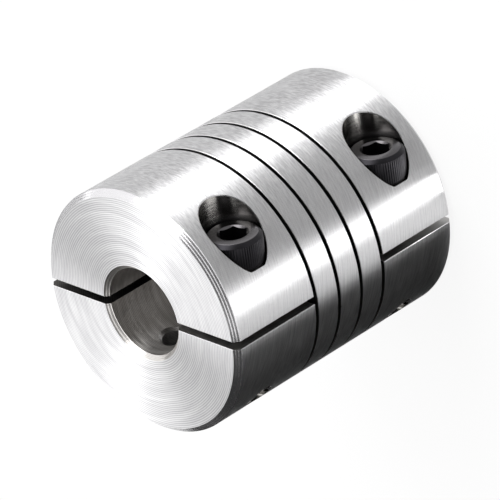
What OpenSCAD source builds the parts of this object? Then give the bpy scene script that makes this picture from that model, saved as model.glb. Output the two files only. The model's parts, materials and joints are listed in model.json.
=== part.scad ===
// Helical beam coupling with an integral clamp at each end.
// One turned bar, bored through, is cut by a single right-hand spiral into a flexing beam between two hubs.
// Each hub is sawn across its end face and pinched on its shaft by one socket head cap screw.
// The coupling's axis is Z. It stands on its rear end face, and the front end face is on top.
// The saw cuts lie in the X-Z plane, and both screws go down along -Y on the +X side.

/* [Body] */
// Outside diameter of the turned body
outer_diameter = 25; // [24:0.5:32]
// Length from the rear end face to the front end face
overall_length = 30; // [29:0.5:40]
// Chamfer on the outside edge of each end face
edge_chamfer = 0.6; // [0.2:0.1:1]

/* [Shaft bores] */
// Diameter of the shaft bore in each hub
bore_diameter = 9; // [6:0.5:10]
// Chamfer at the mouth of each shaft bore
bore_chamfer = 0.4; // [0.1:0.1:0.8]
// Depth of the clamping bore, from its end face to the relieved middle
bore_depth = 9; // [8:0.1:9.2]
// How much larger the middle is than the bores, on the radius, so that the beam stays clear of the shafts
relief_step = 0.4; // [0.2:0.1:1]

/* [Helical cut] */
// Distance along the body from the front end face to the first turn, measured at the saw cut
front_hub_length = 10.7; // [10:0.1:11.5]
// Rise of the spiral in one turn
cut_pitch = 3.06; // [2.8:0.02:3.2]
// Width of the spiral cut, measured along the axis
cut_width = 0.4; // [0.3:0.05:0.6]
// How often the spiral crosses the plane of the screw side saw cut
cut_crossings = 4; // [3:1:4]
// How far the spiral runs on past its first and its last crossing, in degrees
run_on_angle = 150; // [90:5:165]

/* [Saw cuts] */
// Width of the saw cut that splits each hub
saw_width = 0.8; // [0.4:0.1:1.2]
// Depth of the saw cut on the side away from the screws
hinge_depth = 8; // [6:0.5:8.5]

/* [Clamp screws] */
// Distance from the outside of the body to each screw's axis, square to the screw
screw_inset = 4.1; // [4:0.1:4.8]
// Distance from each end face to its screw's axis
screw_setback = 5.2; // [4:0.1:6.5]
// Height of the screw head's seat above the plane of the saw cuts
seat_height = 5.5; // [4:0.1:5.5]
// Outside diameter of the screw's thread
thread_diameter = 3; // [2.5:0.5:3.5]
// Length of the screw under its head
screw_length = 12; // [10:1:14]
// Diameter of the screw's head
head_diameter = 5.5; // [5:0.1:5.8]
// Height of the screw's head
head_height = 3; // [2.5:0.1:3.5]
// Chamfer on the head's top edge
head_chamfer = 0.4; // [0.1:0.05:0.5]
// Hexagon socket, measured across its flats
socket_width = 2.5; // [2:0.1:2.7]
// Depth of the hexagon socket
socket_depth = 1.6; // [1:0.1:2]
// How far the socket's lead-in opens out past the hexagon's corners, on the radius
lead_in = 0.08; // [0.02:0.01:0.15]
// Turn of the hexagon socket about the screw's axis, in degrees
socket_turn = 43; // [0:1:60]
// Chamfer on the screw's tip
tip_chamfer = 0.4; // [0.1:0.1:0.6]

/* [Radial holes] */
// Diameter of the radial hole in the lower half of each hub
radial_diameter = 3; // [2.5:0.5:4]
// Distance from each end face to its radial hole
radial_setback = 4.1; // [3:0.1:5]

/* [Clearances] */
// Gap round the screw's head in its counterbore, on the radius
head_clearance = 0.18; // [0.06:0.02:0.3]
// Gap round the screw's shank in the upper half of the hub, on the radius
shank_clearance = 0.2; // [0.1:0.05:0.3]
// Gap round the screw's thread in the lower half of the hub, on the radius
thread_clearance = 0.05; // [0.02:0.01:0.1]

/* [Hidden] */

// Segments of the round surfaces
round_steps = 128;
// Angle between two sections of the spiral
cut_step = 9;
// Amount by which cuts run past the surface that they open
overcut = 1;
// Drill point and socket bottom angle, from the flat
point_angle = 31;

outer_radius = outer_diameter / 2;
bore_radius = bore_diameter / 2;
relief_radius = bore_radius + relief_step;
screw_offset = outer_radius - screw_inset;
head_radius = head_diameter / 2;
thread_radius = thread_diameter / 2;
counterbore_radius = head_radius + head_clearance;
shank_hole_radius = thread_radius + shank_clearance;
thread_hole_radius = thread_radius + thread_clearance;
socket_corner_radius = socket_width / 2 / cos(30);
lead_in_radius = socket_corner_radius + lead_in;

// Heights at which the spiral crosses the screw side saw cuts
first_crossing_z = overall_length - front_hub_length;
last_crossing_z = first_crossing_z - (cut_crossings - 1) * cut_pitch;

// Angles at which the spiral ends, counted from the screw side saw cut
upper_end_angle = run_on_angle;
lower_end_angle = -(cut_crossings - 1) * 360 - run_on_angle;
cut_sections = ceil((upper_end_angle - lower_end_angle) / cut_step);

body_colour = [0.80, 0.80, 0.82];
screw_colour = [0.15, 0.15, 0.16];

// Height of the middle of the spiral cut at an angle about the axis
function cut_z(angle) = first_crossing_z + cut_pitch * angle / 360;

// Angle of one section of the spiral
function section_angle(i) =
    lower_end_angle + (upper_end_angle - lower_end_angle) * i / cut_sections;

// Corners of one section of the spiral: inner low, outer low, outer high, inner high
function section_corners(angle) = [
    for (corner = [[0, -1], [1, -1], [1, 1], [0, 1]])
        let (radius = corner[0] == 0 ? bore_radius - overcut : outer_radius + overcut)
        [radius * cos(angle), radius * sin(angle), cut_z(angle) + corner[1] * cut_width / 2]
];

// The two triangles between one side of a section and the same side of the next section
function side_faces(i, side) =
    let (
        a = 4 * i + side,
        b = 4 * i + (side + 1) % 4,
        c = 4 * (i + 1) + (side + 1) % 4,
        d = 4 * (i + 1) + side
    )
    [[a, b, c], [a, c, d]];

// Solid that the spiral cut takes away, swept section by section round the axis
module spiral_cut() {
    corners = [for (i = [0:cut_sections]) each section_corners(section_angle(i))];
    sides = [for (i = [0:cut_sections - 1]) for (side = [0:3]) each side_faces(i, side)];
    last = 4 * cut_sections;
    ends = [[2, 1, 0], [3, 2, 0], [last, last + 1, last + 2], [last, last + 2, last + 3]];
    polyhedron(points = corners, faces = concat(sides, ends), convexity = 10);
}

// Outline of the turned body from the axis outwards, chamfered at both ends
module body_profile() {
    polygon([
        [0, 0],
        [outer_radius - edge_chamfer, 0],
        [outer_radius, edge_chamfer],
        [outer_radius, overall_length - edge_chamfer],
        [outer_radius - edge_chamfer, overall_length],
        [0, overall_length]
    ]);
}

// Outline of everything that is bored out: two chamfered shaft bores and the relieved middle
module bore_profile() {
    mouth_radius = bore_radius + bore_chamfer;
    polygon([
        [0, -overcut],
        [mouth_radius, -overcut],
        [mouth_radius, 0],
        [bore_radius, bore_chamfer],
        [bore_radius, bore_depth],
        [relief_radius, bore_depth + relief_step],
        [relief_radius, overall_length - bore_depth - relief_step],
        [bore_radius, overall_length - bore_depth],
        [bore_radius, overall_length - bore_chamfer],
        [mouth_radius, overall_length],
        [mouth_radius, overall_length + overcut],
        [0, overall_length + overcut]
    ]);
}

// Round hole along Y between two heights above the plane of the saw cuts
module cross_hole(radius, low_y, high_y) {
    translate([0, high_y, 0])
        rotate([90, 0, 0])
            cylinder(r = radius, h = high_y - low_y, $fn = round_steps);
}

// Saw cut of one hub: from below the end face to a depth, on one side of the axis
module saw_slot(side, low_z, high_z) {
    reach = outer_radius + overcut;
    translate([side > 0 ? 0 : -reach, -saw_width / 2, low_z])
        cube([reach, saw_width, high_z - low_z]);
}

// Everything that one clamp screw needs: counterbore, clearance hole and tapped hole
module screw_holes(screw_z) {
    reach = outer_radius + overcut;
    translate([screw_offset, 0, screw_z]) {
        cross_hole(counterbore_radius, seat_height, reach);
        cross_hole(shank_hole_radius, 0, seat_height + overcut);
        cross_hole(thread_hole_radius, -reach, overcut / 2);
    }
}

// Radial hole from the underside of one hub into its bore
module radial_hole(hole_z) {
    translate([0, 0, hole_z])
        cross_hole(radial_diameter / 2, -outer_radius - overcut, 0);
}

module coupling_body() {
    color(body_colour)
        difference() {
            rotate_extrude($fn = round_steps) body_profile();
            rotate_extrude($fn = round_steps) bore_profile();
            saw_slot(1, first_crossing_z, overall_length + overcut);
            saw_slot(-1, overall_length - hinge_depth, overall_length + overcut);
            saw_slot(1, -overcut, last_crossing_z);
            saw_slot(-1, -overcut, hinge_depth);
            screw_holes(overall_length - screw_setback);
            screw_holes(screw_setback);
            radial_hole(overall_length - radial_setback);
            radial_hole(radial_setback);
            spiral_cut();
        }
}

// Hexagon socket with its conical lead-in and drilled bottom, measured down from the head's top
module socket_recess() {
    lead_depth = lead_in_radius * tan(point_angle) - socket_width / 2 * tan(point_angle);
    point_depth = socket_width / 2 * tan(point_angle);
    translate([0, 0, head_height - socket_depth])
        rotate([0, 0, socket_turn])
            cylinder(r = socket_corner_radius, h = socket_depth + overcut, $fn = 6);
    translate([0, 0, head_height])
        rotate_extrude($fn = round_steps)
            polygon([
                [0, -lead_depth],
                [socket_width / 2, -lead_depth],
                [lead_in_radius, 0],
                [lead_in_radius, overcut],
                [0, overcut]
            ]);
    translate([0, 0, head_height - socket_depth - point_depth])
        rotate_extrude($fn = round_steps)
            polygon([[0, 0], [socket_width / 2, point_depth], [0, point_depth]]);
}

// Socket head cap screw along Z, with the underside of its head at the origin
module clamp_screw() {
    difference() {
        rotate_extrude($fn = round_steps)
            polygon([
                [0, -screw_length],
                [thread_radius - tip_chamfer, -screw_length],
                [thread_radius, tip_chamfer - screw_length],
                [thread_radius, 0],
                [head_radius, 0],
                [head_radius, head_height - head_chamfer],
                [head_radius - head_chamfer, head_height],
                [0, head_height]
            ]);
        socket_recess();
    }
}

// Clamp screw seated in its hub, pointing down along -Y
module seated_screw(screw_z) {
    color(screw_colour)
        translate([screw_offset, seat_height, screw_z])
            rotate([-90, 0, 0])
                clamp_screw();
}

module front_clamp_screw() {
    seated_screw(overall_length - screw_setback);
}

module rear_clamp_screw() {
    seated_screw(screw_setback);
}

coupling_body();
front_clamp_screw();
rear_clamp_screw();
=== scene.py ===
# %% [markdown]
# # Helical beam coupling in bare aluminium
# This lesson dresses a small shaft coupling: one turned bar with a spiral cut through its middle, a sawn
# clamping hub at each end, and two black cap screws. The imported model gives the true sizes, in metres.
# Everything here is worked out in millimetres, around the same axis, and becomes metres in the mesh.

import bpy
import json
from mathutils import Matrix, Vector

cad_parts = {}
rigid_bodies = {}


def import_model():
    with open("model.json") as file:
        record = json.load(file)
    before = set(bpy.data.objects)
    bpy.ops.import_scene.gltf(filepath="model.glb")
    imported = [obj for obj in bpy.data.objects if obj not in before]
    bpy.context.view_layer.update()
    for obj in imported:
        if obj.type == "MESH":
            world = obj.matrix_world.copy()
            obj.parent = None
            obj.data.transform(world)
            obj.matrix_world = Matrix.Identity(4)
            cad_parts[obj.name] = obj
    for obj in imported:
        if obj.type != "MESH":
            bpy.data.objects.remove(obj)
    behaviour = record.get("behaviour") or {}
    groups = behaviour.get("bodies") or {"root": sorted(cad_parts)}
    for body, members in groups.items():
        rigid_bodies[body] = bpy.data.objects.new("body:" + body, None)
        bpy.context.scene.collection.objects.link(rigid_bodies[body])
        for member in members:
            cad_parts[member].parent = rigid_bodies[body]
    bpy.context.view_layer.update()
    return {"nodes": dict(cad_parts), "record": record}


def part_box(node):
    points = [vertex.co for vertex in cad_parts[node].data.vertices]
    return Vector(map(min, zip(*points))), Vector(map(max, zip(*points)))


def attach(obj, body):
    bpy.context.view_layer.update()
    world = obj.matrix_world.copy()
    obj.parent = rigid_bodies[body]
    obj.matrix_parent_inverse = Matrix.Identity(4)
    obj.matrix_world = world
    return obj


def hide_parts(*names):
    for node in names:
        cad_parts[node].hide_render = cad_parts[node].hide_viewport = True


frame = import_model()
print("nodes:", ", ".join(sorted(frame["nodes"])))

# %% [markdown]
# ## Driving sizes
# The body's radius and length can be measured on its box, and the bore's radius stands in the record of its
# mount. The pitch of the spiral, the saw cuts and the seats of the screws can't be read from a box, so they
# are named here, with the values that the solid was built with.

# %% Sizes measured on the model
import json

import bmesh
import bpy
import numpy as np
from mathutils import Matrix

MM = 0.001  # one millimetre in metres
low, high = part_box("coupling_body")
OUTER_R = (high.x - low.x) / 2 / MM
LENGTH = (high.z - low.z) / MM
mounts = {mount["name"]: mount for mount in frame["record"]["mounts"]}
BORE_R = mounts["front_bore"]["dims"]["r_mm"]
print(f"body: radius {OUTER_R:.2f} mm, length {LENGTH:.2f} mm, bore radius {BORE_R:.2f} mm")

# %% Sizes of the turned form, the spiral and the saw cuts, in millimetres
EDGE_CHAMFER = 0.6
BORE_CHAMFER = 0.4
BORE_DEPTH = 9.0
RELIEF = 0.4  # how much wider the middle is than the bores, on the radius
CUT_PITCH = 3.06
CUT_WIDTH = 0.4
CROSSINGS = 4  # of the spiral with the saw cuts' plane, on the screw side
RUN_ON = 150  # degrees that the spiral goes on past its first and its last crossing
FIRST_CROSSING = LENGTH - 10.7
LAST_CROSSING = FIRST_CROSSING - (CROSSINGS - 1) * CUT_PITCH
CUT_END_ANGLES = (-(CROSSINGS - 1) * 360 - RUN_ON, RUN_ON)
SAW_WIDTH = 0.8
HINGE_DEPTH = 8.0
print(f"spiral: crosses the screw side from {FIRST_CROSSING:.2f} mm down to {LAST_CROSSING:.2f} mm")

# %% Sizes of the screws and their holes, in millimetres
HEAD_R = 2.75
THREAD_R = 1.5
SCREW_LENGTH = 12.0
SCREW_X = OUTER_R - 4.1
SCREW_HEIGHTS = {"front": LENGTH - 5.2, "rear": 5.2}
SEAT_Y = 5.5  # height of the screw heads' seats above the plane of the saw cuts
SCREW_TIP_Y = SEAT_Y - SCREW_LENGTH
COUNTERBORE_R = HEAD_R + 0.18
SHANK_HOLE_R = THREAD_R + 0.2
TAP_GAP = 0.05
RADIAL_R = 1.5
RADIAL_HEIGHTS = {"front": LENGTH - 4.1, "rear": 4.1}
print(f"screws: axes {SCREW_X:.2f} mm from the body's, seats {SEAT_Y:.2f} mm above the saw cuts")

# %% [markdown]
# ## Camera
# The photograph looks down on the coupling from 37 degrees, with a long lens, and the camera is rolled so
# that the bore end falls to the lower left. Such a view could be set by eye with angles, but then every edge
# would be a little off. So the place and the three axes were fitted to edges of the object, and the camera's
# matrix is written straight from them.

# %% Make the camera
CAMERA_MM = np.array([308.36, 218.66, 299.82])
CAMERA_RIGHT = np.array([0.71771, -0.11901, -0.68609])
CAMERA_DOWN = np.array([0.24564, -0.87868, 0.40938])
FOCAL_PIXELS = 4974.6
FRAME_PIXELS = 500
SENSOR_MM = 36
NEAREST_M = 0.01


def make_camera():
    """Camera whose matrix has its right, its up (minus down) and its backward direction as columns."""
    data = bpy.data.cameras.new("camera")
    data.sensor_width = SENSOR_MM
    data.lens = FOCAL_PIXELS / FRAME_PIXELS * SENSOR_MM
    data.clip_start = NEAREST_M
    camera = bpy.data.objects.new("camera", data)
    bpy.context.scene.collection.objects.link(camera)
    matrix = np.eye(4)
    matrix[:3, :3] = np.stack([CAMERA_RIGHT, -CAMERA_DOWN, np.cross(CAMERA_RIGHT, -CAMERA_DOWN)], axis=1)
    matrix[:3, 3] = CAMERA_MM * MM
    camera.matrix_world = Matrix(matrix.tolist())
    bpy.context.scene.camera = camera
    return camera


camera = make_camera()
print(f"lens {camera.data.lens:.0f} mm, {np.linalg.norm(CAMERA_MM):.0f} mm from the rear face's centre")

# %% [markdown]
# ## Nodes and colours
# Every finish below is a small tree of nodes. It could be put together by hand in the node editor, but in
# code it can be read, and made again with other numbers. One function adds a node with its settings and its
# links, and one turns a colour written in sRGB hex into the linear numbers that the shader works with.

# %% Helpers for materials
def linear(hex_code):
    """sRGB hex to linear RGBA: c / 12.92 for dark values, ((c + 0.055) / 1.055) ** 2.4 for the others."""
    srgb = np.array([int(hex_code[i:i + 2], 16) for i in (1, 3, 5)]) / 255
    rgb = np.where(srgb <= 0.04045, srgb / 12.92, ((srgb + 0.055) / 1.055) ** 2.4)
    return (*rgb.tolist(), 1.0)


def new_material(name):
    """Material whose tree of nodes is still empty; gives both."""
    material = bpy.data.materials.new(name)
    material.use_nodes = True
    material.node_tree.nodes.clear()
    return material, material.node_tree


def add_node(tree, kind, settings=None, **inputs):
    """Adds a node with its settings. Each input is a value, or another node's output, which gets linked.
    An input goes by its name, with underscores for spaces, or by its number, as in0, in1 and so on."""
    node = tree.nodes.new(kind)
    for name, value in (settings or {}).items():
        setattr(node, name, value)
    for name, value in inputs.items():
        numbered = name.startswith("in") and name[2:].isdigit()
        socket = node.inputs[int(name[2:]) if numbered else name.replace("_", " ")]
        if isinstance(value, bpy.types.NodeSocket):
            tree.links.new(value, socket)
        else:
            socket.default_value = value
    return node


print(f"middle grey #808080 is {linear('#808080')[0]:.3f} in linear light")

# %% [markdown]
# ## Machined aluminium
# The body is bare aluminium, straight from the lathe. The tool leaves a groove for every turn of the bar, so
# the metal is smooth along each groove and rough across it. A highlight on it is drawn out across the
# grooves, into a band along the body and a bow tie on the end face. Plain bump can't do that at this size, so
# the shader's anisotropy does, and its direction comes from the position: the grooves run square to both the
# axis and the radius. The marks themselves are a wave and a noise, which vary the roughness and raise a
# shallow bump. They also darken the colour where they are low: painted shade in the grooves, with the
# streaks' own tone.

# %% Aluminium with tool marks
WAVE_LENGTH = 2 * np.pi / 10  # what one wave of the wave texture measures at scale 1
NOISE_RANGE = (0.3, 0.7)  # the noise texture seldom leaves it
STREAK_SHARE = 0.4
QUARTER_TURN = 0.25  # turns the highlight from along the grooves to across them


def cut_aluminium(name, light, dark, roughness, anisotropy, groove_mm, depth_mm,
                  hole_z=None, streak=(2.2, 8)):
    """Aluminium with tool marks round the body's axis, or round a screw hole's axis when hole_z is given.
    Marks = a sine wave of the groove's width over (radius + height), mixed with noise drawn out round the
    axis, in streaks that are streak[0] grooves wide and streak[1] times as long. They give the bump its
    height and take the roughness from the first value to the second. The colour goes from dark where they
    are low to light: painted shade in the grooves, with the streaks' own tone."""
    material, tree = new_material(name)
    centre = (0, 0, 0) if hole_z is None else (SCREW_X * MM, 0, hole_z * MM)
    axis = (0, 0, 1) if hole_z is None else (0, 1, 0)
    across = tuple(1 - part for part in axis)
    vector_math, mix = "ShaderNodeVectorMath", "ShaderNodeMix"
    place = add_node(tree, "ShaderNodeTexCoord").outputs["Object"]
    local = add_node(tree, vector_math, {"operation": "SUBTRACT"}, in0=place, in1=centre).outputs[0]
    radial = add_node(tree, vector_math, {"operation": "MULTIPLY"}, in0=local, in1=across).outputs[0]
    radius = add_node(tree, vector_math, {"operation": "LENGTH"}, in0=radial).outputs["Value"]
    height = add_node(tree, vector_math, {"operation": "DOT_PRODUCT"}, in0=local, in1=axis).outputs["Value"]
    grain = add_node(tree, vector_math, {"operation": "CROSS_PRODUCT"}, in0=axis, in1=radial).outputs[0]
    section = add_node(tree, "ShaderNodeCombineXYZ", X=radius, Y=height).outputs[0]
    drawn_out = add_node(tree, vector_math, {"operation": "MULTIPLY_ADD"},
                         in0=local, in1=[1 / streak[1]] * 3, in2=section).outputs[0]
    waves = add_node(tree, "ShaderNodeTexWave", {"bands_direction": "DIAGONAL"},
                     Vector=section, Scale=WAVE_LENGTH / (groove_mm * MM)).outputs["Fac"]
    noise = add_node(tree, "ShaderNodeTexNoise", Vector=drawn_out,
                     Scale=1 / (streak[0] * groove_mm * MM), Detail=3.0).outputs["Fac"]
    streaks = add_node(tree, "ShaderNodeMapRange", Value=noise,
                       From_Min=NOISE_RANGE[0], From_Max=NOISE_RANGE[1]).outputs[0]
    # a Mix node has its factor at 0, two numbers at 2 and 3, and two colours at 6 and 7
    marks_and_groove_shade = add_node(tree, mix, in0=STREAK_SHARE, in2=waves, in3=streaks).outputs[0]
    # the colour is darker where the marks are low: painted shade in the grooves, with the streaks' own tone
    colour = add_node(tree, mix, {"data_type": "RGBA"},
                      in0=marks_and_groove_shade, in6=linear(dark), in7=linear(light)).outputs[2]
    rough = add_node(tree, mix, in0=streaks, in2=roughness[0], in3=roughness[1]).outputs[0]
    normal = add_node(tree, "ShaderNodeBump", Height=marks_and_groove_shade, Distance=depth_mm * MM, Strength=1.0).outputs[0]
    shader = add_node(tree, "ShaderNodeBsdfPrincipled", Base_Color=colour, Metallic=1.0, Roughness=rough,
                      Anisotropic=anisotropy, Anisotropic_Rotation=QUARTER_TURN, Normal=normal, Tangent=grain)
    add_node(tree, "ShaderNodeOutputMaterial", Surface=shader.outputs["BSDF"])
    return material


# %% [markdown]
# The same metal looks different under each tool. A fine finishing cut feeds about 0.05 mm in a turn, and the
# marks of the saw and the file are taken to be as close. None of them was measured on this part. 0.05 mm is
# half a pixel here, so each pattern is drawn coarser than that, by the factor in front of the feed.

# %% Finishes of the body
FEED = 0.05  # millimetres in a turn, a usual value for a fine finishing cut and not measured here
TURNED, FACED, CHAMFERED, BORED, SAWN, SAWN_IN_PAINTED_SHADE, FILED, DRILLED_FRONT, DRILLED_REAR = range(9)
# the drilled walls are darker than the turned outside: painted shade in the counterbores and holes
drilled = {"light": "#b0aeab", "dark": "#83817e", "roughness": (0.18, 0.25), "anisotropy": 0.8,
           "groove_mm": 2.4 * FEED, "depth_mm": 0.002}
BODY_MATERIALS = [
    # turned at a fine feed: satin, with feathery streaks round the body
    cut_aluminium("turned aluminium", "#ffffff", "#a4a3a6", (0.33, 0.46), anisotropy=1.0,
                  groove_mm=2.4 * FEED, depth_mm=0.003, streak=(1.3, 5)),
    # faced from the outside in: dull, in rings that show
    cut_aluminium("faced aluminium", "#ffffff", "#bab9bc", (0.42, 0.54), anisotropy=0.88,
                  groove_mm=4.2 * FEED, depth_mm=0.006),
    # chamfered with the same tool at a slow feed: smoother, nearly bright
    cut_aluminium("chamfered aluminium", "#cccbcd", "#bfbec0", (0.23, 0.26), anisotropy=0.75,
                  groove_mm=1.4 * FEED, depth_mm=0.0001),
    # bored to size: smoother than the outside, and darker as painted shade in the bore
    cut_aluminium("bored aluminium", "#e6e3e0", "#a8a5a2", (0.28, 0.42), anisotropy=0.8,
                  groove_mm=3.6 * FEED, depth_mm=0.0018),
    # sawn with a thin slitting saw: even and dull
    cut_aluminium("sawn aluminium", "#bcbbba", "#a1a09f", (0.32, 0.44), anisotropy=0.0,
                  groove_mm=6 * FEED, depth_mm=0.002),
    # sawn too, and darkened as painted shade: the narrow spiral and the cuts on the hinge side
    cut_aluminium("oily sawn aluminium", "#6a6866", "#4c4a48", (0.30, 0.42), anisotropy=0.0,
                  groove_mm=6 * FEED, depth_mm=0.002),
    # filed: the broken edges, bright and smooth
    cut_aluminium("filed aluminium", "#d9d8d9", "#c8c7c8", (0.24, 0.32), anisotropy=0.0,
                  groove_mm=6 * FEED, depth_mm=0.0005),
    # counterbored and drilled: smeared by the cutter's edge, round each screw's axis, and darker as painted
    # shade
    cut_aluminium("drilled aluminium front", **drilled, hole_z=SCREW_HEIGHTS["front"]),
    cut_aluminium("drilled aluminium rear", **drilled, hole_z=SCREW_HEIGHTS["rear"]),
]
print(f"{len(BODY_MATERIALS)} finishes of one metal")

# %% [markdown]
# ## Surfaces from numpy grids
# A turned part is a profile carried round an axis. The profile is a list of radius and height pairs, the
# angle is the second parameter, and whole arrays of points come out at once. Faces of a grid follow one rule,
# so they are arrays too. A lathe made of modifiers would do the same, but here every step is one formula.

# %% Points round an axis
def full_turn(steps):
    """Angles of a whole turn in equal steps, in radians, without the last one, which is the first again."""
    return np.arange(steps) * 2 * np.pi / steps


def about_z(radius, angle, height):
    """Points at a radius, an angle about Z in radians and a height."""
    radius, angle, height = np.broadcast_arrays(radius, angle, height)
    return np.stack([radius * np.cos(angle), radius * np.sin(angle), height], axis=-1)


def about_y(radius, angle, height, centre_x, centre_z):
    """Points at a radius and an angle about a line along Y through (centre_x, centre_z); height is y."""
    radius, angle, height = np.broadcast_arrays(radius, angle, height)
    return np.stack([centre_x + radius * np.sin(angle), height, centre_z + radius * np.cos(angle)], axis=-1)


# %% Faces of a grid
def grid_faces(rows, columns, wrap_rows=False, wrap_columns=False):
    """Quads of a grid of rows x columns points, numbered row by row: i * columns + j and its neighbours.
    A wrapped side joins its last points to its first."""
    i, j = np.meshgrid(np.arange(rows if wrap_rows else rows - 1),
                       np.arange(columns if wrap_columns else columns - 1), indexing="ij")
    row, next_row = i.ravel() * columns, (i.ravel() + 1) % rows * columns
    column, next_column = j.ravel(), (j.ravel() + 1) % columns
    return np.stack([row + column, row + next_column, next_row + next_column, next_row + column], axis=1)


def closed_rings(radius, height, angle, pole_heights, centre_x, centre_z):
    """Points and faces of rings about a line along Y: quads between the rings, and a fan to each pole."""
    points = about_y(radius, angle[None, :], height, centre_x, centre_z).reshape(-1, 3)
    poles = about_y(0.0, 0.0, pole_heights, centre_x, centre_z)
    rings, columns = len(radius), len(angle)
    here = np.arange(columns)
    after = (here + 1) % columns
    last = (rings - 1) * columns
    first_fan = np.stack([np.full(columns, len(points)), after, here], axis=1)
    last_fan = np.stack([np.full(columns, len(points) + 1), last + here, last + after], axis=1)
    faces = grid_faces(rings, columns, wrap_columns=True).tolist() + first_fan.tolist() + last_fan.tolist()
    return np.concatenate([points, poles]), faces


print("faces of a grid of 2 x 3 points:", grid_faces(2, 3).tolist())


# %% A piece from points and faces
def make_piece(name, points_mm, faces, materials=(), face_material=None):
    """Object at the origin with its place in its mesh, from points in millimetres and a list of faces."""
    mesh = bpy.data.meshes.new(name)
    mesh.from_pydata((np.asarray(points_mm) * MM).tolist(), [], [[int(v) for v in face] for face in faces])
    for material in materials:
        mesh.materials.append(material)
    if face_material is not None:
        mesh.polygons.foreach_set("material_index", np.asarray(face_material, dtype=np.int32))
    mesh.update()
    piece = bpy.data.objects.new(name, mesh)
    bpy.context.scene.collection.objects.link(piece)
    return piece


def face_outwards(piece):
    """Turns a closed mesh's faces round if its volume, the sum of area * normal . middle / 3, is negative."""
    faces = piece.data.polygons
    area, normal, middle = np.empty(len(faces)), np.empty(len(faces) * 3), np.empty(len(faces) * 3)
    faces.foreach_get("area", area)
    faces.foreach_get("normal", normal)
    faces.foreach_get("center", middle)
    if np.sum(area * np.sum(normal.reshape(-1, 3) * middle.reshape(-1, 3), axis=1)) < 0:
        piece.data.flip_normals()
    return piece


# %% [markdown]
# ## Turned blank
# The real body starts as a bar in a lathe: faced, chamfered and bored. Its section is a closed outline, so
# the revolved blank is a closed ring with no pole. The chamfers are not perfectly plain on the real part: the
# tool leaves shallow steps, which catch the light as thin rings. Bump would be too weak for them at the
# edge of the picture, so the outline itself has them.

# %% Outline of the turned blank
# rings of a chamfer: their number, how deep each dips, and at which share of its width it is deepest
RIM_RINGS = (3, 0.010, 0.3)
MOUTH_RINGS = (2, 0.018, 0.7)


def stepped_line(start, end, rings, depth, lowest):
    """Points from start to end in equal steps; each dips by depth into the metal at the share lowest."""
    start, end = np.array(start, float), np.array(end, float)
    along = end - start
    inward = np.array([-along[1], along[0]]) / np.linalg.norm(along)
    share = np.arange(rings)[:, None] / rings
    tread = start + along * share
    dip = start + along * (share + lowest / rings) + inward * depth
    return np.stack([tread, dip], axis=1).reshape(-1, 2)


def half_outline():
    """Front half of the section and each stretch's finish, from the middle of the outside to the bore."""
    top = LENGTH
    outer = stepped_line((OUTER_R, top - EDGE_CHAMFER), (OUTER_R - EDGE_CHAMFER, top), *RIM_RINGS)
    mouth = stepped_line((BORE_R + BORE_CHAMFER, top), (BORE_R, top - BORE_CHAMFER), *MOUTH_RINGS)
    inside = [(BORE_R, top - BORE_CHAMFER), (BORE_R, top - BORE_DEPTH),
              (BORE_R + RELIEF, top - BORE_DEPTH - RELIEF)]
    points = np.concatenate([outer, [(OUTER_R - EDGE_CHAMFER, top)], mouth, inside])
    finish = [CHAMFERED] * len(outer) + [FACED] + [BORED] * (len(mouth) + len(inside))
    return points, finish


front_half, front_finish = half_outline()
print(f"half outline: {len(front_half)} points")

# %% Revolve the blank
ROUND_STEPS = 360


def revolve(outline, steps):
    """Ring of points: the closed outline at every angle, one row per outline point."""
    return about_z(outline[:, :1], full_turn(steps)[None, :], outline[:, 1:]).reshape(-1, 3)


rear_half = front_half[::-1] * [1, -1] + [0, LENGTH]
rear_finish = front_finish[-2::-1] + [TURNED]
outline = np.concatenate([front_half, rear_half])
outline_finish = front_finish + rear_finish
blank_faces = grid_faces(len(outline), ROUND_STEPS, wrap_rows=True, wrap_columns=True)
blank = make_piece("turned_body", revolve(outline, ROUND_STEPS), blank_faces, BODY_MATERIALS,
                   np.repeat(outline_finish, ROUND_STEPS))
print(f"blank: {len(outline)} outline points, {len(blank_faces)} faces")

# %% [markdown]
# ## Spiral and saw cuts
# Every cut on the real body is made after turning, so each one here is a closed solid that is taken away from
# the blank later, by a Boolean modifier. The spiral is a section carried along a helix. Its section flares at
# the outside, because a real edge is broken with a file, and that tiny bevel is what makes the edge shine. A
# Bevel modifier after the cut would stumble over the slivers where the cuts meet the chamfers, so the bevels
# are part of the cutters.

# %% The spiral cut
LIP = 0.04  # width of a broken edge
PAST = 1.0  # how far a cutter runs past the surface that it opens
SPIRAL_STEP = 2.0  # degrees


def spiral_cutter():
    """Section (radius, rise) carried along z = first crossing + pitch * angle / 360, closed at both ends."""
    half = CUT_WIDTH / 2
    rim = half + LIP + PAST
    section = np.array([(BORE_R - PAST, -half), (OUTER_R - LIP, -half), (OUTER_R + PAST, -rim),
                        (OUTER_R + PAST, rim), (OUTER_R - LIP, half), (BORE_R - PAST, half)])
    count = int(np.ceil((CUT_END_ANGLES[1] - CUT_END_ANGLES[0]) / SPIRAL_STEP)) + 1
    degrees = np.linspace(*CUT_END_ANGLES, count)[:, None]
    height = FIRST_CROSSING + CUT_PITCH * degrees / 360 + section[:, 1]
    points = about_z(section[:, 0], np.radians(degrees), height).reshape(-1, 3)
    sides = grid_faces(count, len(section), wrap_columns=True)
    first = np.arange(len(section))
    ends = [first[::-1].tolist(), (first + (count - 1) * len(section)).tolist()]
    finish = np.tile([SAWN_IN_PAINTED_SHADE, FILED, SAWN_IN_PAINTED_SHADE, FILED, SAWN_IN_PAINTED_SHADE, SAWN_IN_PAINTED_SHADE], count - 1).tolist() + [SAWN_IN_PAINTED_SHADE, SAWN_IN_PAINTED_SHADE]
    return make_piece("spiral_cutter", points, sides.tolist() + ends, BODY_MATERIALS, finish)


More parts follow.
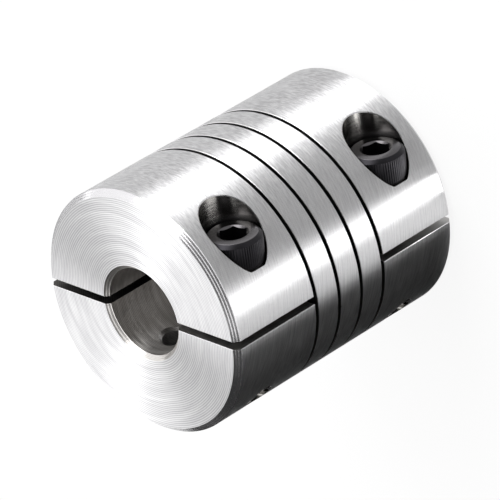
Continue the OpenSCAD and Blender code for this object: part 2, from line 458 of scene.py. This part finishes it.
cutters = [spiral_cutter()]
print(f"spiral cutter: {len(cutters[0].data.vertices)} points")


# %% The saw cuts
def prism(name, corners, finish):
    """Solid between two like outlines given as an array of shape (2, corners, 3)."""
    corners = np.asarray(corners, float)
    count = corners.shape[1]
    sides = grid_faces(2, count, wrap_columns=True)
    ends = [list(range(count))[::-1], list(range(count, 2 * count))]
    faces = sides.tolist() + ends
    return make_piece(name, corners.reshape(-1, 3), faces, BODY_MATERIALS, [finish] * len(faces))


def saw_cutters(side, low_z, high_z):
    """One saw cut as a box from the axis outwards, with a V notch along its mouth on the body's side and one
    across the end face. A notch's sides meet the cut's walls a lip's width below the surface."""
    half = SAW_WIDTH / 2
    reach = side * (OUTER_R + PAST)
    end_z, outwards = (LENGTH, 1) if high_z > LENGTH else (0.0, -1)
    box = [[(x, y, z) for x, y in ((0.0, -half), (reach, -half), (reach, half), (0.0, half))]
           for z in (low_z, high_z)]
    open_y = half + LIP + PAST
    bottom_x = side * (np.sqrt(OUTER_R ** 2 - half ** 2) - LIP) - side * half
    along = [[(bottom_x, 0, z), (bottom_x + side * open_y, -open_y, z), (bottom_x + side * open_y, open_y, z)]
             for z in (low_z, high_z)]
    bottom_z = end_z - outwards * (half + LIP)
    open_z = bottom_z + outwards * open_y
    across = [[(x, 0, bottom_z), (x, -open_y, open_z), (x, open_y, open_z)] for x in (0.0, reach)]
    return [prism("saw_cutter", box, SAWN if side > 0 else SAWN_IN_PAINTED_SHADE),
            prism("mouth_cutter", along, FILED),
            prism("end_cutter", across, FILED)]


cutters += saw_cutters(1, FIRST_CROSSING, LENGTH + PAST)
cutters += saw_cutters(-1, LENGTH - HINGE_DEPTH, LENGTH + PAST)
cutters += saw_cutters(1, -PAST, LAST_CROSSING)
cutters += saw_cutters(-1, -PAST, HINGE_DEPTH)
print(f"{len(cutters)} cutters with the saw cuts")

# %% [markdown]
# ## Holes with broken rims
# A hole across a round body has a rim that is a curve in space, so no straight bevel fits it. The cutter for
# such a rim is a ring carried along that curve. Its slanting side goes through a point on the hole's wall, a
# lip's width below the skin, and a point on the skin, a lip's width away from the hole, and on past both.

# %% Round holes
HOLE_STEPS = 96


def round_cutter(name, outline, centre_x, centre_z, finish):
    """Solid of revolution about a line along Y, from (radius, y) pairs that start and end on that line."""
    outline = np.asarray(outline, float)
    ring = outline[1:-1]
    points, faces = closed_rings(ring[:, :1], ring[:, 1:], full_turn(HOLE_STEPS), outline[[0, -1], 1],
                                 centre_x, centre_z)
    return make_piece(name, points, faces, BODY_MATERIALS, [finish] * len(faces))


# %% Broken rims
SLOPE_STEP = 0.01  # distance over which the skin's slope at the hole is measured
RUN_PAST = 2  # lip widths that the slanting side runs on past each of its two points
HEADROOM = 0.2  # how far a rim cutter reaches past the skin
FLOOR_STEP = 0.1  # least thickness of a rim cutter that is cut off at floor_y


def rim_cutter(centre_x, centre_z, hole_r, skin_r, skin_side, open_side, lip, finish, floor_y=-np.inf):
    """Ring along the rim between a hole along Y and a round skin about Z. With r the distance from the hole's
    axis, skin(r) = skin side * sqrt(skin radius squared - (centre x + r * sin(angle)) squared). The skin side
    is 1 above the body's axis and -1 below, and the open side is 1 where the air is above the skin."""
    angle = full_turn(HOLE_STEPS)

    def skin(radius):
        return skin_side * np.sqrt(skin_r ** 2 - (centre_x + radius * np.sin(angle)) ** 2)

    slope = (skin(hole_r + SLOPE_STEP) - skin(hole_r)) / SLOPE_STEP
    along = lip / np.sqrt(1 + slope ** 2)
    rise = skin(hole_r + along) - skin(hole_r) + open_side * lip
    inner_r, outer_r = hole_r - RUN_PAST * along, hole_r + (1 + RUN_PAST) * along
    inner_y = skin(hole_r) - open_side * lip - RUN_PAST * rise
    outer_y = inner_y + (1 + 2 * RUN_PAST) * rise
    open_y = open_side * (np.maximum(open_side * outer_y, open_side * skin(hole_r)) + HEADROOM)
    radius = np.stack([inner_r, outer_r, outer_r, inner_r])
    lowest = floor_y + np.array([[0], [0], [FLOOR_STEP], [FLOOR_STEP]])
    y = np.maximum(np.stack([inner_y, outer_y, open_y, open_y]), lowest)
    points = about_y(radius, angle[None, :], y, centre_x, centre_z)
    faces = grid_faces(4, len(angle), wrap_rows=True, wrap_columns=True)
    return make_piece("rim_cutter", points.reshape(-1, 3), faces, BODY_MATERIALS, [finish] * len(faces))


# %% [markdown]
# ## Threads
# The tapped holes and the screws share one surface: a thread whose rows follow the helix themselves. Stacked
# rings would saw across the helix and blunt it. Here every row of points climbs by one pitch in a turn, so
# the crest and the root stay sharp lines all the way.

# %% Thread as a surface of two parameters
THREAD_PITCH = 0.5
THREAD_DEPTH = 0.28
THREAD_COLUMNS = 48
TIP_CHAMFER = 0.4
# one pitch of the thread, as shares of the pitch and of the depth, where 1 is the crest
THREAD_SECTION = np.array([(0.0, 1.0), (0.0625, 1.0), (0.375, 0.0), (0.5, 0.0), (0.625, 0.0), (0.9375, 1.0)])


def thread_grid(gap, start_y, turns, tip_y):
    """Radius, angle and y of a thread: y = start + pitch * (share of the section + angle / turn). The radius
    is the section's at that share, plus the gap, and at the chamfered tip no more than 45 degrees allow."""
    row = np.arange(turns * len(THREAD_SECTION))
    turn, place = row // len(THREAD_SECTION), row % len(THREAD_SECTION)
    share = turn + THREAD_SECTION[place, 0]
    column = np.arange(THREAD_COLUMNS) / THREAD_COLUMNS
    y = start_y + THREAD_PITCH * (share[:, None] + column[None, :])
    radius = THREAD_R + gap - THREAD_DEPTH * (1 - THREAD_SECTION[place, 1])
    radius = np.minimum(radius[:, None], THREAD_R - TIP_CHAMFER + (y - tip_y))
    return radius, np.broadcast_to(column * 2 * np.pi, y.shape), y


def thread_solid(name, centre_z, gap, start_y, turns, tip_y, finish, materials):
    """Closed threaded rod about a screw's axis. The last point of a row joins the first point of the row one
    pitch higher, and a fan of triangles closes each end."""
    radius, angle, y = thread_grid(gap, start_y, turns, tip_y)
    rows, columns = y.shape
    pitch_rows = len(THREAD_SECTION)
    points = about_y(radius, angle, y, SCREW_X, centre_z).reshape(-1, 3)
    index = np.arange(rows * columns).reshape(rows, columns)
    seam = np.stack([index[:-pitch_rows - 1, -1], index[pitch_rows:-1, 0],
                     index[pitch_rows + 1:, 0], index[1:-pitch_rows, -1]], axis=1)
    low_ring = np.concatenate([index[0], index[pitch_rows:0:-1, 0]])
    high_ring = np.concatenate([index[-pitch_rows - 1:, -1], index[-1, -2::-1]])
    fans = [np.stack([np.full(len(ring), rows * columns + k), np.roll(ring, -1), ring], axis=1)
            for k, ring in enumerate((low_ring, high_ring))]
    poles = about_y(0.0, 0.0, np.array([y[0].mean(), y[-1].mean()]), SCREW_X, centre_z)
    faces = np.concatenate([grid_faces(rows, columns), seam]).tolist() + np.concatenate(fans).tolist()
    return make_piece(name, np.concatenate([points, poles]), faces, materials, [finish] * len(faces))


# %% [markdown]
# ## Holes of a hub
# Each hub has a counterbore for the screw's head, a clearance hole down to the saw cut, a tapped hole below
# it, and a radial hole from the underside into the bore. The tapped hole's thread starts a whole number of
# pitches from the screw's tip, so that the two threads lie in each other.

# %% Cutters for the holes
EDGE_RIM = 0.07  # broken rim of the counterbore and of the radial hole
BORE_RIM = 0.25  # rim of the radial hole inside the bore
TAP_LEAD = 14  # pitches from the screw's tip down to where the tap starts, past the outside
ABOVE_SEAT = 0.01  # keeps the counterbore's rim off its seat
RADIAL_TOP_Y = -1.0  # the radial hole's cutter ends inside the bore


def hole_cutters(screw_z, radial_z, finish):
    """Counterbore, clearance hole, tapped hole and radial hole of one hub, with their rims."""
    reach = OUTER_R + PAST
    stepped = [(0, 0), (SHANK_HOLE_R, 0), (SHANK_HOLE_R, SEAT_Y), (COUNTERBORE_R, SEAT_Y),
               (COUNTERBORE_R, reach), (0, reach)]
    radial = [(0, -reach), (RADIAL_R, -reach), (RADIAL_R, RADIAL_TOP_Y), (0, RADIAL_TOP_Y)]
    tap_turns = int(np.ceil(reach / THREAD_PITCH)) + 2
    return [
        round_cutter("screw_hole_cutter", stepped, SCREW_X, screw_z, finish),
        rim_cutter(SCREW_X, screw_z, COUNTERBORE_R, OUTER_R, skin_side=1, open_side=1, lip=EDGE_RIM,
                   finish=FILED, floor_y=SEAT_Y + ABOVE_SEAT),
        rim_cutter(SCREW_X, screw_z, THREAD_R + TAP_GAP, OUTER_R, skin_side=-1, open_side=-1, lip=LIP,
                   finish=finish),
        rim_cutter(0.0, radial_z, RADIAL_R, OUTER_R, skin_side=-1, open_side=-1, lip=EDGE_RIM, finish=FILED),
        rim_cutter(0.0, radial_z, RADIAL_R, BORE_R, skin_side=-1, open_side=1, lip=BORE_RIM, finish=SAWN),
        round_cutter("radial_hole_cutter", radial, 0.0, radial_z, SAWN),
        thread_solid("tap_cutter", screw_z, gap=TAP_GAP, start_y=SCREW_TIP_Y - THREAD_PITCH * TAP_LEAD,
                     turns=tap_turns, tip_y=-np.inf, finish=finish, materials=BODY_MATERIALS),
    ]


cutters += hole_cutters(SCREW_HEIGHTS["front"], RADIAL_HEIGHTS["front"], DRILLED_FRONT)
cutters += hole_cutters(SCREW_HEIGHTS["rear"], RADIAL_HEIGHTS["rear"], DRILLED_REAR)
print(f"{len(cutters)} cutters in all")

# %% [markdown]
# ## Cutting the blank
# All the cutters go into one collection and one Boolean modifier takes them away. It carries each cutter's
# material over to the wall that it leaves, so every cut surface has its own finish. An exact Boolean leaves
# pairs of points that differ only by rounding, and these are welded.

# %% Cut the blank
WELD_DISTANCE = 0.0001


def weld(mesh):
    """Joins points that are closer than the weld distance, and drops the faces that this flattens."""
    shape = bmesh.new()
    shape.from_mesh(mesh)
    bmesh.ops.remove_doubles(shape, verts=shape.verts, dist=WELD_DISTANCE * MM)
    bmesh.ops.dissolve_degenerate(shape, edges=shape.edges, dist=WELD_DISTANCE * MM)
    shape.to_mesh(mesh)
    shape.free()


def combine(piece, operation, others):
    """Takes the other solids away from the piece, or joins them to it, and removes them."""
    group = bpy.data.collections.new("others")
    for other in others:
        group.objects.link(face_outwards(other))
    modifier = piece.modifiers.new("combine", "BOOLEAN")
    modifier.operation = operation
    modifier.operand_type = "COLLECTION"
    modifier.collection = group
    modifier.solver = "EXACT"
    modifier.material_mode = "TRANSFER"
    bpy.context.view_layer.update()
    piece.data = bpy.data.meshes.new_from_object(piece.evaluated_get(bpy.context.evaluated_depsgraph_get()))
    piece.modifiers.clear()
    weld(piece.data)
    for other in others:
        bpy.data.objects.remove(other)
    bpy.data.collections.remove(group)


combine(blank, "DIFFERENCE", cutters)
print(f"cut body: {len(blank.data.polygons)} faces, {len(blank.data.vertices)} vertices")

# %% [markdown]
# ## Smooth round surfaces
# The blank's 360 flat strips would show as facets in the highlights. Blender's own smooth shading averages
# the faces round a corner, which smears light across the large flat faces that a Boolean leaves. So the
# corners get their normals by a rule: a corner's normal is its face's own normal, turned about the surface's
# axis from the middle of the face to that corner. That is exact for cylinders, cones and flat end faces.

# %% Normals of the turned and drilled surfaces
HOLE_FINISHES = {DRILLED_FRONT: SCREW_HEIGHTS["front"], DRILLED_REAR: SCREW_HEIGHTS["rear"]}
FLAT_FINISHES = (SAWN, SAWN_IN_PAINTED_SHADE, FILED)


def turned_normals(mesh):
    """Normal of each corner: its face's, turned about the surface's axis from the face's middle to it."""
    corners = np.empty(len(mesh.loops), dtype=np.int32)
    mesh.loops.foreach_get("vertex_index", corners)
    count, finish = np.empty((2, len(mesh.polygons)), dtype=np.int32)
    mesh.polygons.foreach_get("loop_total", count)
    mesh.polygons.foreach_get("material_index", finish)
    place = np.empty(len(mesh.vertices) * 3)
    mesh.vertices.foreach_get("co", place)
    normal, middle = np.empty((2, len(mesh.polygons) * 3))
    mesh.polygons.foreach_get("normal", normal)
    mesh.polygons.foreach_get("center", middle)
    face = np.repeat(np.arange(len(count)), count)
    place = place.reshape(-1, 3)[corners]
    normal, middle, finish = normal.reshape(-1, 3)[face], middle.reshape(-1, 3)[face], finish[face]
    result = normal.copy()
    for kind in set(np.unique(finish).tolist()) - set(FLAT_FINISHES):
        here = finish == kind
        drilled_hole = kind in HOLE_FINISHES
        centre = np.array([SCREW_X, 0, HOLE_FINISHES[kind]]) * MM if drilled_hole else np.zeros(3)
        first, second = (2, 0) if drilled_hole else (0, 1)
        corner, centroid = place[here] - centre, middle[here] - centre
        turn = (np.arctan2(corner[:, second], corner[:, first])
                - np.arctan2(centroid[:, second], centroid[:, first]))
        a, b = normal[here, first], normal[here, second]
        result[here, first] = a * np.cos(turn) - b * np.sin(turn)
        result[here, second] = a * np.sin(turn) + b * np.cos(turn)
    return result


blank.data.polygons.foreach_set("use_smooth", [True] * len(blank.data.polygons))
blank.data.normals_split_custom_set(turned_normals(blank.data).tolist())
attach(blank, "root")
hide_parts("coupling_body")
print(f"{len(blank.data.loops)} corners have their normals")

# %% [markdown]
# ## Cap screws
# Each hub is pinched by one M3 socket head cap screw, cold-formed in alloy steel. The head is a grid of rings
# round the screw's axis: a straight knurl on its side, a chamfered rim, and a hexagon socket. Cutting the
# socket out would leave one more Boolean to clean. A hexagon is a ring too, whose radius is its inner radius
# over the cosine of the angle from the nearest flat, so the same grid runs from the round rim into it.

# %% Head of a cap screw
HEAD_HEIGHT = 3.0
HEAD_CHAMFER = 0.4
HEAD_FOOT = 0.1  # one step of the rounding under the head
RIM_ROUNDING = 0.03
KNURL_TEETH = 72
TOOTH_POINTS = 4
KNURL_DEPTH = 0.04
KNURL_START = 0.3  # height above the head's underside
SOCKET_WIDTH = 2.5
SOCKET_DEPTH = 1.6
SOCKET_TURN = 43  # degrees
LEAD_IN = 0.08  # how far the socket's lead-in opens past the hexagon's corners
POINT_ANGLE = 31  # degrees that the lead-in and the socket's floor slope
NECK_R = 1.25
NECK_DEPTH = 1.0  # of the plug under the head that joins it to the shank
BLACKENED, PAINTED_SHEEN = range(2)


def screw_head(name, centre_z, materials):
    """Head of one screw: rings (parameter one) by angle (parameter two), closed at neck and socket floor.
    Radius of the knurled side = head radius - depth * triangle wave, up to the rim's 45 degree cone.
    Radius of the hexagon = half its width over the cosine of the angle from the nearest flat."""
    angle = full_turn(KNURL_TEETH * TOOTH_POINTS)
    tooth = np.abs(((angle * KNURL_TEETH / (2 * np.pi)) % 1) - 0.5) * 2
    knurl = HEAD_R - KNURL_DEPTH * tooth
    rim = HEAD_R - HEAD_CHAMFER
    from_flat = (angle - np.radians(SOCKET_TURN)) % (np.pi / 3) - np.pi / 6
    hexagon = SOCKET_WIDTH / 2 / np.cos(from_flat)
    mouth = SOCKET_WIDTH / 2 / np.cos(np.pi / 6) + LEAD_IN
    slope = np.tan(np.radians(POINT_ANGLE))
    side = [(NECK_R, -NECK_DEPTH), (NECK_R, 0.0), (HEAD_R - 2 * HEAD_FOOT, 0.0),
            (HEAD_R - HEAD_FOOT, HEAD_FOOT), (knurl, KNURL_START), (knurl, HEAD_HEIGHT + rim - knurl)]
    top = [(rim + RIM_ROUNDING, HEAD_HEIGHT - RIM_ROUNDING), (rim - RIM_ROUNDING, HEAD_HEIGHT),
           (mouth, HEAD_HEIGHT), (hexagon, HEAD_HEIGHT - (mouth - hexagon) * slope)]
    rings = side + top + [(hexagon, HEAD_HEIGHT - SOCKET_DEPTH)]
    radius = np.stack([np.broadcast_to(r, angle.shape) for r, y in rings])
    height = np.stack([np.broadcast_to(y, angle.shape) for r, y in rings]) + SEAT_Y
    floor_y = SEAT_Y + HEAD_HEIGHT - SOCKET_DEPTH - SOCKET_WIDTH / 2 * slope
    points, faces = closed_rings(radius, height, angle, np.array([SEAT_Y - NECK_DEPTH, floor_y]),
                                 SCREW_X, centre_z)
    finish = np.full(len(faces), BLACKENED)
    # the top and the lead-in get the lighter copy of the oxide: painted sheen
    finish[len(side) * len(angle):(len(side) + len(top) - 1) * len(angle)] = PAINTED_SHEEN
    return make_piece(name, points, faces, materials, finish)


# %% [markdown]
# ## Black oxide
# The screws are blackened in a hot salt bath, which grows a thin layer of magnetite on the steel, and oiled.
# That makes the metal dark, a little blue and half glossy, in faint patches. A flat black would lose the
# patches, so a noise varies the roughness. The head's top and the socket's lead-in are a lighter copy of the
# oxide: painted sheen.

# %% Finishes of the screws
OXIDE_PATCH = 0.25  # width of a patch, chosen so that it shows; the real width wasn't measured
OXIDE_BUMP = 0.004


def black_oxide(name, colour, roughness):
    """Black oxide steel: noise of the patches' size goes from the first roughness to the second."""
    material, tree = new_material(name)
    place = add_node(tree, "ShaderNodeTexCoord").outputs["Object"]
    noise = add_node(tree, "ShaderNodeTexNoise", Vector=place, Scale=1 / (OXIDE_PATCH * MM),
                     Detail=3.0).outputs["Fac"]
    rough = add_node(tree, "ShaderNodeMix", in0=noise, in2=roughness[0], in3=roughness[1]).outputs[0]
    normal = add_node(tree, "ShaderNodeBump", Height=noise, Distance=OXIDE_BUMP * MM, Strength=1.0).outputs[0]
    shader = add_node(tree, "ShaderNodeBsdfPrincipled", Base_Color=linear(colour), Metallic=1.0,
                      Roughness=rough, Normal=normal)
    add_node(tree, "ShaderNodeOutputMaterial", Surface=shader.outputs["BSDF"])
    return material


SCREW_MATERIALS = [
    # as blackened: knurl, chamfer, thread and socket walls
    black_oxide("black oxide steel", "#302f32", (0.28, 0.50)),
    # the head's flat top and the socket's lead-in: a lighter, smoother copy, painted sheen
    black_oxide("rubbed black oxide steel", "#5c5a5c", (0.15, 0.30)),
]
print(f"{len(SCREW_MATERIALS)} finishes of the screws")

# %% The two screws
UNDER_HEAD = 0.5  # plain shank between the thread and the head
SHARP_ANGLE = 28  # degrees between two faces from which their edge stays sharp


def cap_screw(hub):
    """One screw: its head joined to its threaded shank."""
    centre_z = SCREW_HEIGHTS[hub]
    screw = face_outwards(screw_head(f"cap_screw_{hub}", centre_z, SCREW_MATERIALS))
    turns = int((SEAT_Y - UNDER_HEAD - SCREW_TIP_Y) / THREAD_PITCH)
    shank = thread_solid("shank", centre_z, gap=0.0, start_y=SCREW_TIP_Y, turns=turns, tip_y=SCREW_TIP_Y,
                         finish=BLACKENED, materials=SCREW_MATERIALS)
    combine(screw, "UNION", [shank])
    screw.data.polygons.foreach_set("use_smooth", [True] * len(screw.data.polygons))
    screw.data.set_sharp_from_angle(angle=np.radians(SHARP_ANGLE))
    return screw


for hub in ("front", "rear"):
    screw = cap_screw(hub)
    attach(screw, "root")
    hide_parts(f"{hub}_clamp_screw")
    print(f"{screw.name}: {len(screw.data.polygons)} faces")

# %% [markdown]
# ## Floor and world
# Bright metal shows what stands round it. The photograph was taken in white surroundings, so the floor is a
# sheet of white paper that takes the coupling's shadow. More light would also turn the floor white, but it
# would burn out the metal. So the paper is lifted only where the camera or a reflection looks at it.

# %% Floor and world
STAGE_GAP = 0.02  # the floor lies this far below the rear face, and the cards this far above it
FLOOR_HALF = 3000.0
WHITE_SHARE = 0.88
WORLD_STRENGTH = 0.035


def white_paper():
    """White sheet: lit by the lamps, and lifted to white where the camera, gloss or glass looks at it."""
    material, tree = new_material("white paper")
    ray = add_node(tree, "ShaderNodeLightPath").outputs
    seen = add_node(tree, "ShaderNodeMath", {"operation": "ADD"},
                    in0=ray["Is Camera Ray"], in1=ray["Is Glossy Ray"]).outputs[0]
    seen = add_node(tree, "ShaderNodeMath", {"operation": "ADD"},
                    in0=seen, in1=ray["Is Transmission Ray"]).outputs[0]
    share = add_node(tree, "ShaderNodeMath", {"operation": "MULTIPLY"}, in0=seen, in1=WHITE_SHARE).outputs[0]
    paper = add_node(tree, "ShaderNodeBsdfDiffuse", Color=linear("#f4f4f4")).outputs[0]
    white = add_node(tree, "ShaderNodeEmission", Color=linear("#ffffff"), Strength=1.0).outputs[0]
    surface = add_node(tree, "ShaderNodeMixShader", in0=share, in1=paper, in2=white).outputs[0]
    add_node(tree, "ShaderNodeOutputMaterial", Surface=surface)
    return material


square = np.array([(-1, -1), (1, -1), (1, 1), (-1, 1)]) * FLOOR_HALF
floor = make_piece("floor", [(x, y, -STAGE_GAP) for x, y in square], [(0, 1, 2, 3)], [white_paper()])
world = bpy.data.worlds.new("studio")
world.use_nodes = True
background = world.node_tree.nodes["Background"]
background.inputs["Color"].default_value = linear("#ffffff")
background.inputs["Strength"].default_value = WORLD_STRENGTH
bpy.context.scene.world = world
print(f"floor: {2 * FLOOR_HALF * MM:.0f} m wide")

# %% [markdown]
# ## Painted reflections
# The side of the body mirrors the floor, and in the photograph it has a black underside, two white bands and
# greys between them. Lamps alone would need many trials for that. Instead, dark, grey and glowing sheets lie
# on the floor where only reflections see them: the camera doesn't, and they cast no shadow and light nothing.
# They are painted reflections, and the black one paints shade on the underside. Their edges are the lines
# where rays from the camera, mirrored by the body at a chosen angle, run along the floor.

# %% Painted reflections, which only the metal sees
TARGET = np.array([0.0, 0.0, LENGTH / 2])
CARD_START = 0.6
CARD_REACH = 400.0
FAR_REACH = 2500.0
CARD_GRID = (25, 5)  # steps across and along a card


def reflection_glow(name, level):
    """Glowing sheet that shows the same level from everywhere; 1 is white, and more glows. Only the metal
    sees it, so it is a painted reflection.
    """
    material, tree = new_material(name)
    grey = add_node(tree, "ShaderNodeEmission", Color=(level, level, level, 1), Strength=1.0).outputs[0]
    add_node(tree, "ShaderNodeOutputMaterial", Surface=grey)
    return material


def reflection_sheet(name, from_degrees, to_degrees, level, near=CARD_START, far=CARD_REACH):
    """Sheet on the floor: point(a, d) = side of the body at angle a + d * the level part of the camera's ray
    mirrored there, for angles between the two given ones and distances from near to far."""
    angle = np.radians(np.linspace(from_degrees, to_degrees, CARD_GRID[0]))[:, None]
    distance = np.geomspace(near, far, CARD_GRID[1])[None, :]
    view = (TARGET - CAMERA_MM) / np.linalg.norm(TARGET - CAMERA_MM)
    outward = about_z(1.0, angle, 0.0)
    mirrored = view - 2 * np.sum(outward * view, axis=-1, keepdims=True) * outward
    mirrored[..., 2] = 0
    mirrored /= np.linalg.norm(mirrored, axis=-1, keepdims=True)
    points = about_z(OUTER_R, angle, STAGE_GAP) + distance[..., None] * mirrored
    sheet = make_piece(name, points.reshape(-1, 3), grid_faces(*CARD_GRID), [reflection_glow(name, level)])
    # only reflections see the sheet: the camera doesn't, and it casts no shadow and lights nothing
    for ray in ("camera", "diffuse", "shadow", "transmission", "volume_scatter"):
        setattr(sheet, f"visible_{ray}", False)
    return sheet


# painted reflections on the body's side: the black sheet paints shade on the underside, and the brightest
# ones glow as painted highlight bands
reflection_sheets = [
    reflection_sheet("black_card", -45.5, -0.5, 0.014),  # the black underside
    reflection_sheet("far_dark_card", -42, -12, 0.4, near=CARD_REACH, far=FAR_REACH),  # darker painted reflection beyond it
    reflection_sheet("low_strip", 1.8, 11.5, 1.55),  # the light stretch just above the saw cuts
    reflection_sheet("strip_card", 13.5, 22, 4.2),  # the lower white band
    reflection_sheet("grey_card", 27, 64.5, 0.74),  # the grey stretch with the screws
    reflection_sheet("key_strip", 65.5, 75.5, 1.5),  # the upper white band
    reflection_sheet("pale_card", 83, 125, 0.56),  # the grey top
]
print(f"{len(reflection_sheets)} cards")

# %% [markdown]
# ## Lamps
# Five soft lamps stand round the coupling. They draw the bow tie on the end face, light the chamfers
# and the holes, and give the grooves the highlights that the cards are too low for. A lamp's power grows with
# its area here, so its brightness stays the same when it is made larger or smaller.

# %% Soft lamps
LAMP_DISTANCE = 400


def softbox(name, azimuth, elevation, width, height, radiance):
    """Area lamp of width x height mm that looks at the coupling from an azimuth and an elevation in degrees.
    Its power is pi * area * radiance, so the same radiance looks equally bright at any size."""
    data = bpy.data.lights.new(name, "AREA")
    data.shape = "RECTANGLE"
    data.size, data.size_y = width * MM, height * MM
    data.energy = np.pi * width * height * MM ** 2 * radiance
    lamp = bpy.data.objects.new(name, data)
    bpy.context.scene.collection.objects.link(lamp)
    a, e = np.radians([azimuth, elevation])
    towards = np.array([np.cos(e) * np.cos(a), np.cos(e) * np.sin(a), np.sin(e)])
    across = np.array([-np.sin(a), np.cos(a), 0.0])
    matrix = np.eye(4)
    matrix[:3, :3] = np.stack([across, np.cross(towards, across), towards], axis=1)
    matrix[:3, 3] = (TARGET + towards * LAMP_DISTANCE) * MM
    lamp.matrix_world = Matrix(matrix.tolist())
    lamp.visible_camera = False
    return lamp


lamps = [
    softbox("key_light", 104, 30.5, 235, 490, 4.4),
    softbox("back_light", 210, 35, 360, 500, 1.0),
    softbox("low_light", 180, 4, 200, 70, 1.2),
    softbox("top_light", -60, 86, 440, 500, 1.85),
    softbox("fill_light", 148, 27, 370, 400, 1.5),
]
print(f"{len(lamps)} lamps, {sum(lamp.data.energy for lamp in lamps):.2f} W in all")

# %% [markdown]
# ## View transform
# The view transform is Standard, so a colour in the picture is the colour that was written.

# %% View transform
bpy.context.scene.view_settings.view_transform = "Standard"
